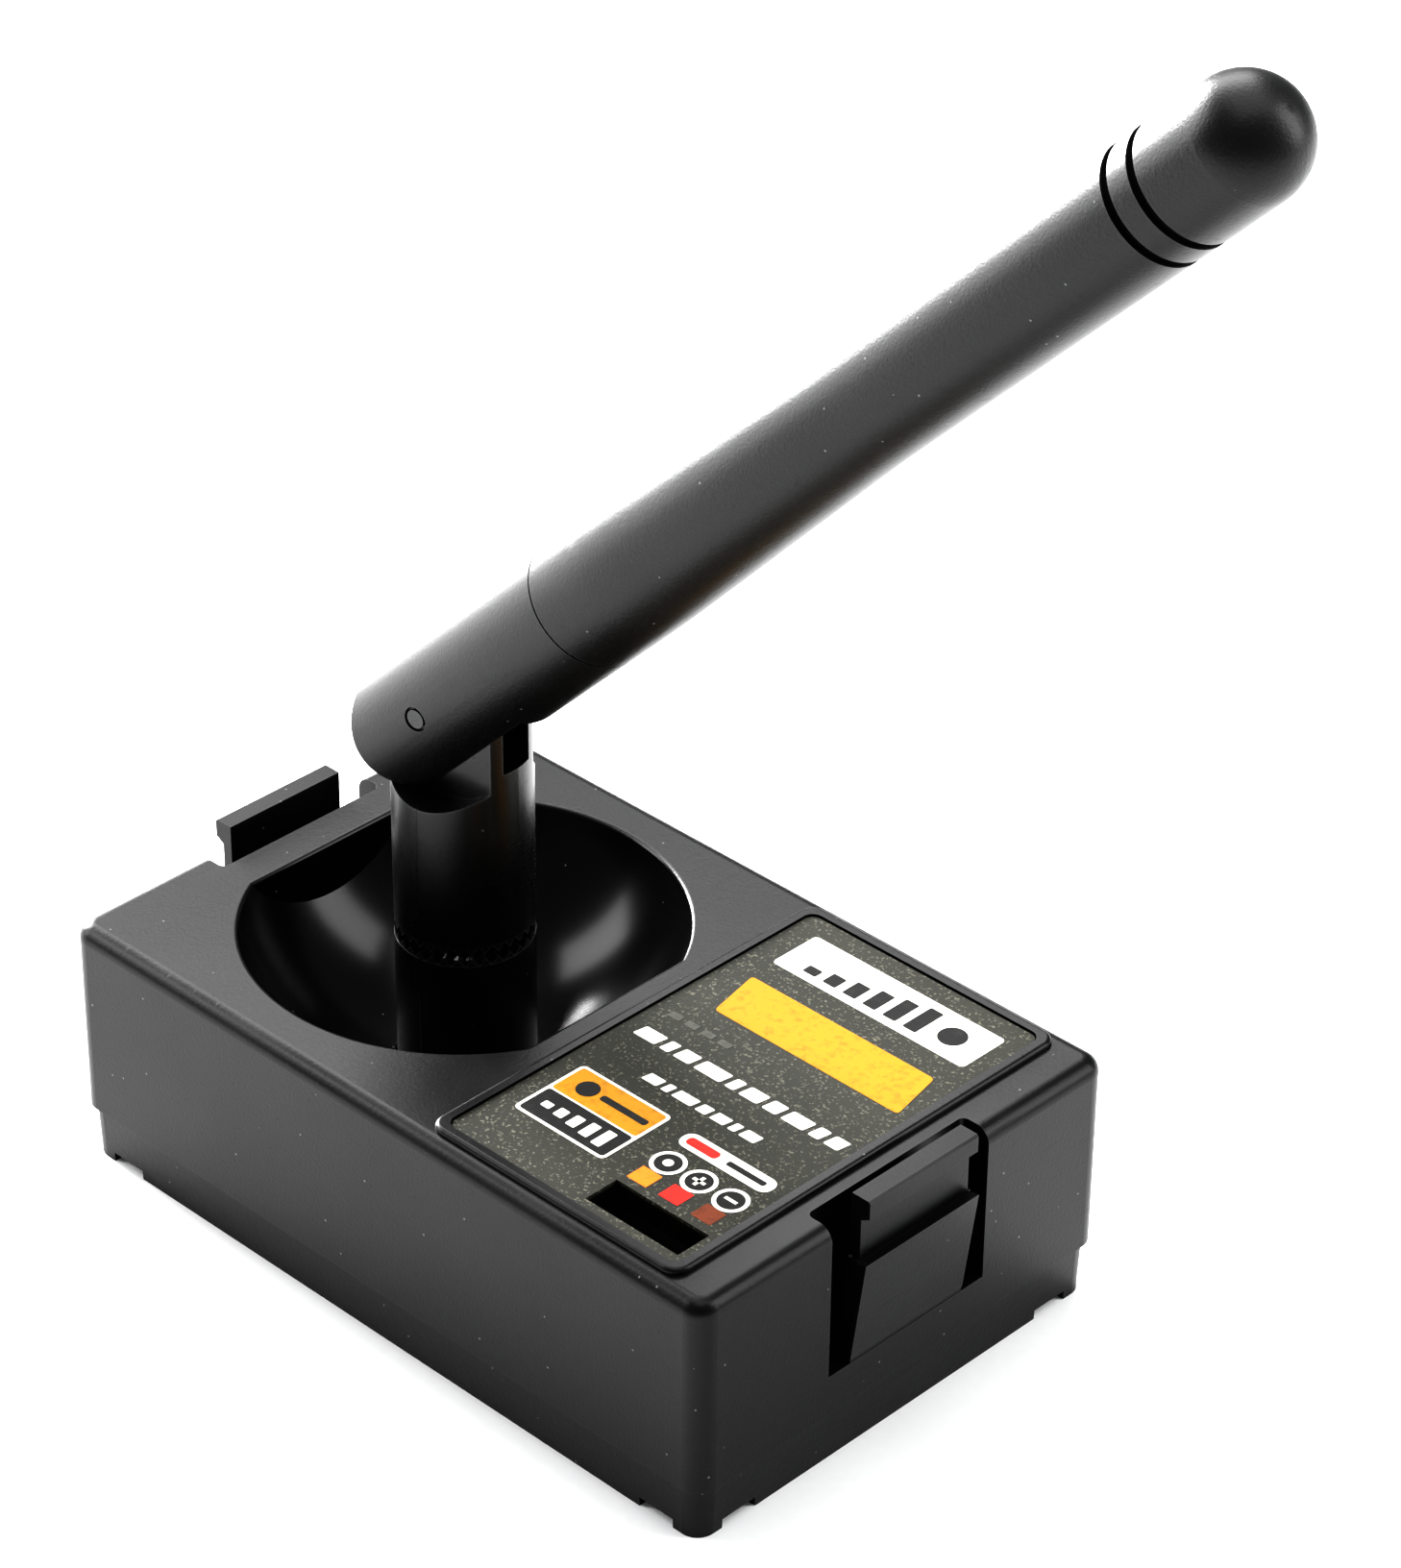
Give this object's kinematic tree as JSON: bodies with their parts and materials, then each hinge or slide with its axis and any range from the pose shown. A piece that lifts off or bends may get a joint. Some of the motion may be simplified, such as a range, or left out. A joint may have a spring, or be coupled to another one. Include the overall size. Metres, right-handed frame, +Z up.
{
  "type": "plug-in radio module with antenna",
  "caption": "Black plug-in radio control module with a dished top, a label panel, snap latches and a swivelling, tilting stub antenna.",
  "frame": {"origin": "middle of the flat base, on the surface it rests on", "axes": "+X along the long side towards the label panel, +Z up out of the top face, Y across"},
  "size_m": [0.0774, 0.037, 0.0947],
  "materials": {
    "housing_abs": "satin moulded ABS, near black",
    "base_abs": "satin moulded ABS, near black",
    "label_film": "flecked dark olive grey film",
    "zinc_steel": "zinc plated",
    "board_laminate": "green solder mask",
    "header_nylon": "moulded nylon",
    "gold_pins": "gold flashed",
    "tinned_steel": "tinned",
    "chip_epoxy": "moulded epoxy",
    "capacitor_can": "drawn can",
    "coax_jacket": "smooth jacket",
    "mast_acetal": "satin moulded",
    "spring_steel": "hardened",
    "whip_knuckle_abs": "matt moulded",
    "pin_acetal": "satin",
    "whip_soft_touch": "fine grained matt",
    "brass_tube": "drawn"
  },
  "bodies": {
    "root": {"upper_shell": "housing_abs", "base_cover": "base_abs", "label_sheet": "label_film", "housing_screws": "zinc_steel", "board_screws": "zinc_steel", "main_board": "board_laminate", "port_shroud": "header_nylon", "bay_socket": "header_nylon", "port_pins": "gold_pins", "shield_can": "tinned_steel", "crystal": "tinned_steel", "radio_chip": "chip_epoxy", "controller_chip": "chip_epoxy", "capacitors": "capacitor_can", "coax_plug": "gold_pins", "coax_lead": "coax_jacket", "swivel_collar": "mast_acetal", "collar_nut": "zinc_steel", "spring_washer": "spring_steel"},
    "mast": {"mast": "mast_acetal", "retaining_clip": "spring_steel"},
    "whip": {"whip_knuckle": "whip_knuckle_abs", "hinge_pins": "pin_acetal", "whip_sheath": "whip_soft_touch", "dipole_sleeve": "brass_tube", "whip_coax": "coax_jacket", "radiator_rod": "brass_tube", "rod_spacer": "header_nylon"},
    "latch_left": {"latch_left": "housing_abs"},
    "latch_right": {"latch_right": "housing_abs"}
  },
  "joints": [
    {"name": "mast_swivel", "type": "hinge", "parent": "root", "child": "mast", "pos_m": [-0.0108, 0, 0.0184], "axis": [0, 0, 1], "range_deg": [-97, 83]},
    {"name": "whip_tilt", "type": "hinge", "parent": "mast", "child": "whip", "pos_m": [-0.0108, 0, 0.0362], "axis": [-0.1219, 0.9925, 0], "range_deg": [-45, 45]},
    {"name": "latch_left_flex", "type": "hinge", "parent": "root", "child": "latch_left", "pos_m": [-0.02844, 0, 0.007], "axis": [0, 1, 0], "range_deg": [0, 4], "stiffness_Nm_per_rad": 0.9},
    {"name": "latch_right_flex", "type": "hinge", "parent": "root", "child": "latch_right", "pos_m": [0.02844, 0, 0.007], "axis": [0, -1, 0], "range_deg": [0, 4], "stiffness_Nm_per_rad": 0.9}
  ]
}
